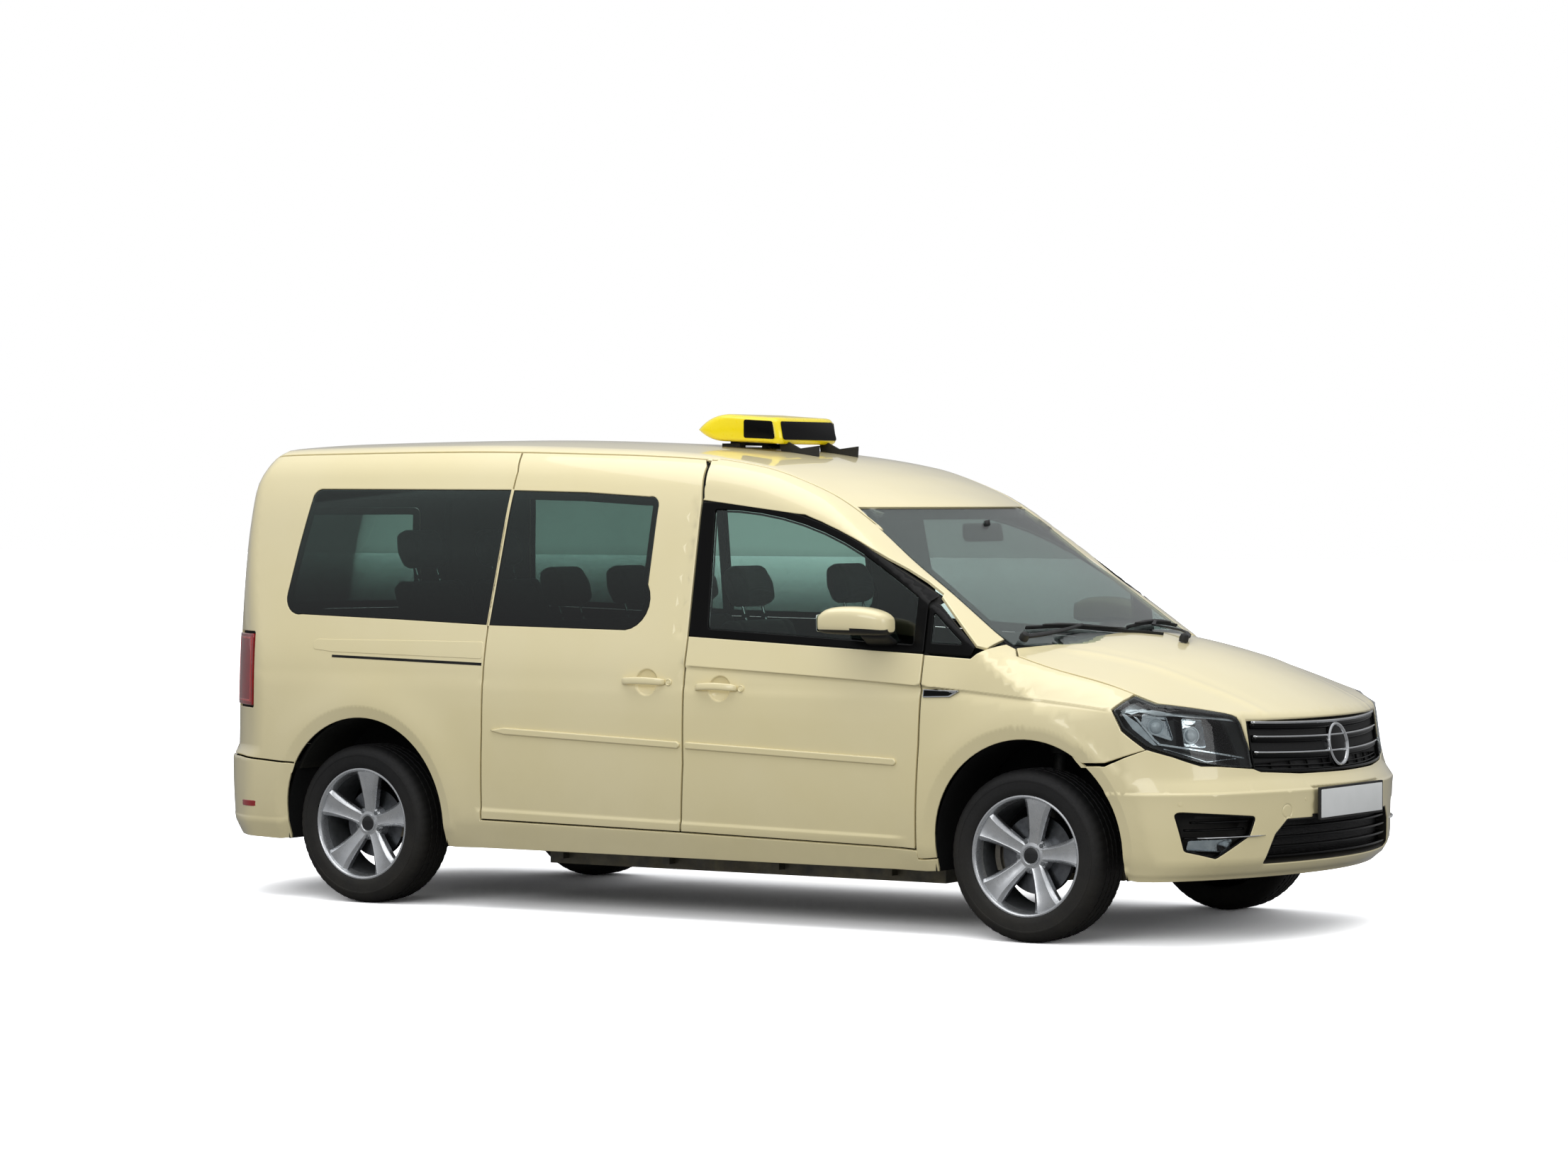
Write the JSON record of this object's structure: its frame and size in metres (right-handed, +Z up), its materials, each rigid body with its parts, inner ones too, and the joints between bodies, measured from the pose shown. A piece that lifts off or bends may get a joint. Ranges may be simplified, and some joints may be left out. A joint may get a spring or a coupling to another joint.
{
  "type": "taxi cab",
  "caption": "Long-wheelbase van-based people carrier used as a taxi, with a roof sign, hinged front doors, bonnet and tailgate, steered front wheels and turning wheels.",
  "frame": {"origin": "on the ground under the middle of the car's length and width", "axes": "+X towards the car's front, +Y towards its left side, +Z up"},
  "size_m": [4.8778, 2.06, 1.9264],
  "materials": {
    "paint": "gloss",
    "black_trim": "satin",
    "lamp_clear": "gloss",
    "lamp_red": "gloss",
    "glass_clear": "gloss",
    "glass_dark": "gloss",
    "structure": "satin",
    "steel": "satin",
    "alloy": "satin",
    "tyre": "matte",
    "cloth": "matte",
    "sign_yellow": "gloss",
    "plate_white": "satin",
    "machine": "satin"
  },
  "bodies": {
    "body": {"headlights": "lamp_clear", "front_bumper": "paint", "number_plate": "plate_white", "grille": "black_trim", "front_wings": "paint", "sliding_doors": "paint", "side_glass": "glass_dark", "side_frames": "paint", "roof": "paint", "windscreen": "glass_clear", "rear_bumper": "paint", "tail_lamps": "lamp_red", "floor_pan": "structure", "scuttle": "black_trim", "front_suspension": "steel", "front_frame": "structure", "rear_quarters": "paint", "drive_unit": "machine", "rear_suspension": "steel", "battery_tray": "machine", "front_seats": "cloth", "passenger_seats": "cloth", "dashboard": "black_trim", "roof_sign": "sign_yellow", "sign_bracket": "black_trim"},
    "bonnet": {"bonnet": "paint"},
    "door_right": {"front_door_right": "paint", "front_glass_right": "glass_clear", "mirror_right": "paint"},
    "door_left": {"front_door_left": "paint", "front_glass_left": "glass_clear", "mirror_left": "paint"},
    "tailgate": {"tailgate": "paint", "tailgate_glass": "glass_dark"},
    "steering_wheel": {"steering_wheel": "black_trim"},
    "knuckle_right": {"knuckle_right": "steel"},
    "knuckle_left": {"knuckle_left": "steel"},
    "wheel_front_right": {"rim_front_right": "alloy", "tyre_front_right": "tyre"},
    "wheel_front_left": {"rim_front_left": "alloy", "tyre_front_left": "tyre"},
    "wheel_rear_right": {"rim_rear_right": "alloy", "tyre_rear_right": "tyre"},
    "wheel_rear_left": {"rim_rear_left": "alloy", "tyre_rear_left": "tyre"}
  },
  "joints": [
    {"name": "bonnet_hinge", "type": "hinge", "parent": "body", "child": "bonnet", "pos_m": [1.64, 0, 0.965], "axis": [0, -1, 0], "range_deg": [0, 45]},
    {"name": "door_right_hinge", "type": "hinge", "parent": "body", "child": "door_right", "pos_m": [1.047, -0.879, 0.71], "axis": [0, 0, 1], "range_deg": [0, 65]},
    {"name": "door_left_hinge", "type": "hinge", "parent": "body", "child": "door_left", "pos_m": [1.047, 0.879, 0.71], "axis": [0, 0, -1], "range_deg": [0, 65]},
    {"name": "tailgate_hinge", "type": "hinge", "parent": "body", "child": "tailgate", "pos_m": [-2.126, 0, 1.786], "axis": [0, 1, 0], "range_deg": [0, 80]},
    {"name": "steer_left", "type": "hinge", "parent": "body", "child": "knuckle_left", "pos_m": [1.56, 0.6726, 0.313], "axis": [0, -0.2052, 0.9787], "range_deg": [-35, 35]},
    {"name": "steer_right", "type": "hinge", "parent": "body", "child": "knuckle_right", "pos_m": [1.56, -0.6726, 0.313], "axis": [0, 0.2052, 0.9787], "range_deg": [-35, 35]},
    {"name": "steering_wheel_turn", "type": "hinge", "parent": "body", "child": "steering_wheel", "pos_m": [0.77, 0.372, 0.9], "axis": [-0.9135, 0, 0.4067], "range_deg": [-490, 490]},
    {"name": "wheel_front_right_spin", "type": "hinge", "parent": "knuckle_right", "child": "wheel_front_right", "pos_m": [1.56, -0.771, 0.313], "axis": [0, 1, 0], "continuous": true},
    {"name": "wheel_front_left_spin", "type": "hinge", "parent": "knuckle_left", "child": "wheel_front_left", "pos_m": [1.56, 0.771, 0.313], "axis": [0, 1, 0], "continuous": true},
    {"name": "wheel_rear_right_spin", "type": "hinge", "parent": "body", "child": "wheel_rear_right", "pos_m": [-1.446, -0.767, 0.313], "axis": [0, 1, 0], "continuous": true},
    {"name": "wheel_rear_left_spin", "type": "hinge", "parent": "body", "child": "wheel_rear_left", "pos_m": [-1.446, 0.767, 0.313], "axis": [0, 1, 0], "continuous": true}
  ],
  "couplings": [
    {"joint": "steer_right", "follows": "steer_left", "ratio": 1},
    {"joint": "steering_wheel_turn", "follows": "steer_left", "ratio": 14}
  ]
}
